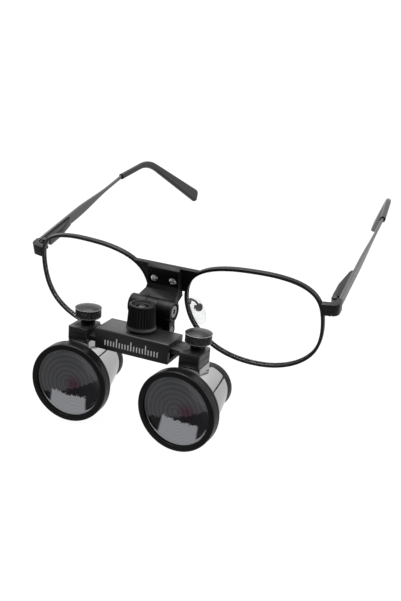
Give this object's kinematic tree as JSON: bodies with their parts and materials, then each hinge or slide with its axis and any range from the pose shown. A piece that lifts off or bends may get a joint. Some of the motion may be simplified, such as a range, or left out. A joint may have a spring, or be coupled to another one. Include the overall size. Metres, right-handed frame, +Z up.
{
  "type": "dental loupes",
  "caption": "Binocular dental loupes on a metal spectacle frame: flip-up double hinge, crossbar with an adjusting knob and racks, and converging telescopes.",
  "frame": {"origin": "middle of the footprint, on the level of the ear tips' lowest point; the back of the bridge plate is 46.8 mm in front of it and the bridge plate's top edge 51 mm above it", "axes": "+X to the wearer's left, +Y back along the temples, +Z up"},
  "size_m": [0.14, 0.1963, 0.0553],
  "materials": {
    "frame_black": "semi-gloss black enamel",
    "bridge_black": "satin black enamel",
    "clear_lens": "clear, anti-reflection coated",
    "pad_silicone": "clear soft silicone",
    "ear_tip_black": "semi-gloss black",
    "plated_screw": "bright nickel plate",
    "dark_screw": "black oxide",
    "spring_steel": "drawn steel",
    "loupe_black": "satin black anodised",
    "knob_black": "matt black, ribbed",
    "thumb_black": "black anodised, knurled",
    "bezel_black": "black anodised",
    "black_chrome": "polished black chrome",
    "light_trap_black": "matt black, stepped",
    "optical_glass": "multi-coated",
    "gear_brass": "machined"
  },
  "bodies": {
    "spectacle_frame": {"rim_left": "frame_black", "rim_right": "frame_black", "spectacle_lens_left": "clear_lens", "spectacle_lens_right": "clear_lens", "bridge_plate": "bridge_black", "end_piece_left": "frame_black", "end_piece_right": "frame_black", "rim_lock_left": "frame_black", "rim_lock_right": "frame_black", "rim_lock_screws": "plated_screw", "hinge_screws": "plated_screw", "pad_arm_left": "frame_black", "pad_arm_right": "frame_black", "pad_screws": "plated_screw", "mount_bracket": "bridge_black", "bracket_screws": "plated_screw", "upper_hinge_screw": "plated_screw", "upper_hinge_nut": "plated_screw"},
    "flip_link": {"link_arm": "bridge_black", "lower_hinge_screw": "plated_screw"},
    "crossbar": {"crossbar_housing": "loupe_black", "crossbar_cover": "loupe_black", "cover_screws": "plated_screw"},
    "pd_knob": {"pd_knob": "knob_black", "knob_screw": "dark_screw", "pinion_shaft": "gear_brass"},
    "slide_left": {"slide_arm_left": "loupe_black", "clamp_block_left": "loupe_black", "clamp_dowels_left": "plated_screw"},
    "barrel_left": {"saddle_left": "loupe_black", "barrel_shell_left": "black_chrome", "bezel_left": "bezel_black", "objective_lens_left": "optical_glass", "light_trap_left": "light_trap_black", "eyepiece_lens_left": "optical_glass", "eyepiece_ring_left": "bezel_black"},
    "thumb_screw_left": {"thumb_screw_left": "thumb_black"},
    "hinge_tongue_left": {"spring_tongue_left": "spring_steel"},
    "temple_left": {"temple_left": "frame_black", "spring_box_left": "frame_black", "ear_tip_left": "ear_tip_black", "hinge_spring_left": "spring_steel"},
    "nose_pad_left": {"nose_pad_left": "pad_silicone"},
    "slide_right": {"slide_arm_right": "loupe_black", "clamp_block_right": "loupe_black", "clamp_dowels_right": "plated_screw"},
    "barrel_right": {"saddle_right": "loupe_black", "barrel_shell_right": "black_chrome", "bezel_right": "bezel_black", "objective_lens_right": "optical_glass", "light_trap_right": "light_trap_black", "eyepiece_lens_right": "optical_glass", "eyepiece_ring_right": "bezel_black"},
    "thumb_screw_right": {"thumb_screw_right": "thumb_black"},
    "hinge_tongue_right": {"spring_tongue_right": "spring_steel"},
    "temple_right": {"temple_right": "frame_black", "spring_box_right": "frame_black", "ear_tip_right": "ear_tip_black", "hinge_spring_right": "spring_steel"},
    "nose_pad_right": {"nose_pad_right": "pad_silicone"}
  },
  "joints": [
    {"name": "flip_up", "type": "hinge", "parent": "spectacle_frame", "child": "flip_link", "pos_m": [0, -0.0616, 0.03915], "axis": [1, 0, 0], "range_deg": [-60, 0]},
    {"name": "declination", "type": "hinge", "parent": "flip_link", "child": "crossbar", "pos_m": [0, -0.06328, 0.03115], "axis": [1, 0, 0], "range_deg": [0, 28]},
    {"name": "barrel_slide_left", "type": "slide", "parent": "crossbar", "child": "slide_left", "axis": [1, 0, 0], "range_m": [-0.002, 0.008]},
    {"name": "barrel_slide_right", "type": "slide", "parent": "crossbar", "child": "slide_right", "axis": [-1, 0, 0], "range_m": [-0.002, 0.008]},
    {"name": "pd_knob_turn", "type": "hinge", "parent": "crossbar", "child": "pd_knob", "pos_m": [0, -0.0739, 0.03135], "axis": [0, 0.2629, 0.9648], "range_deg": [-230, 58]},
    {"name": "barrel_swivel_left", "type": "hinge", "parent": "slide_left", "child": "barrel_left", "pos_m": [0.0241, -0.07323, 0.03116], "axis": [0, 0.2629, 0.9648], "range_deg": [-8, 8]},
    {"name": "thumb_screw_turn_left", "type": "hinge", "parent": "slide_left", "child": "thumb_screw_left", "pos_m": [0.0241, -0.07323, 0.03116], "axis": [0, 0.2629, 0.9648], "range_deg": [0, 180]},
    {"name": "temple_fold_left", "type": "hinge", "parent": "spectacle_frame", "child": "hinge_tongue_left", "pos_m": [0.0666, -0.036, 0.04143], "axis": [0, 0, 1], "range_deg": [0, 84]},
    {"name": "temple_spring_left", "type": "slide", "parent": "hinge_tongue_left", "child": "temple_left", "axis": [0, 1, 0], "range_m": [0, 0.001], "stiffness_N_per_m": 4000, "springref_m": -0.0005},
    {"name": "nose_pad_rock_left", "type": "hinge", "parent": "spectacle_frame", "child": "nose_pad_left", "pos_m": [0.01025, -0.04138, 0.02906], "axis": [-0.3372, -0.9108, -0.2383], "range_deg": [-6, 6]},
    {"name": "barrel_swivel_right", "type": "hinge", "parent": "slide_right", "child": "barrel_right", "pos_m": [-0.0241, -0.07323, 0.03116], "axis": [0, 0.2629, 0.9648], "range_deg": [-8, 8]},
    {"name": "thumb_screw_turn_right", "type": "hinge", "parent": "slide_right", "child": "thumb_screw_right", "pos_m": [-0.0241, -0.07323, 0.03116], "axis": [0, 0.2629, 0.9648], "range_deg": [0, 180]},
    {"name": "temple_fold_right", "type": "hinge", "parent": "spectacle_frame", "child": "hinge_tongue_right", "pos_m": [-0.0666, -0.036, 0.04143], "axis": [0, 0, 1], "range_deg": [-78, 0]},
    {"name": "temple_spring_right", "type": "slide", "parent": "hinge_tongue_right", "child": "temple_right", "axis": [0, 1, 0], "range_m": [0, 0.001], "stiffness_N_per_m": 4000, "springref_m": -0.0005},
    {"name": "nose_pad_rock_right", "type": "hinge", "parent": "spectacle_frame", "child": "nose_pad_right", "pos_m": [-0.01025, -0.04138, 0.02906], "axis": [0.3372, -0.9108, -0.2383], "range_deg": [-6, 6]}
  ],
  "couplings": [
    {"joint": "barrel_slide_right", "follows": "barrel_slide_left", "ratio": 1},
    {"joint": "pd_knob_turn", "follows": "barrel_slide_left", "rad_per_m": -500}
  ]
}
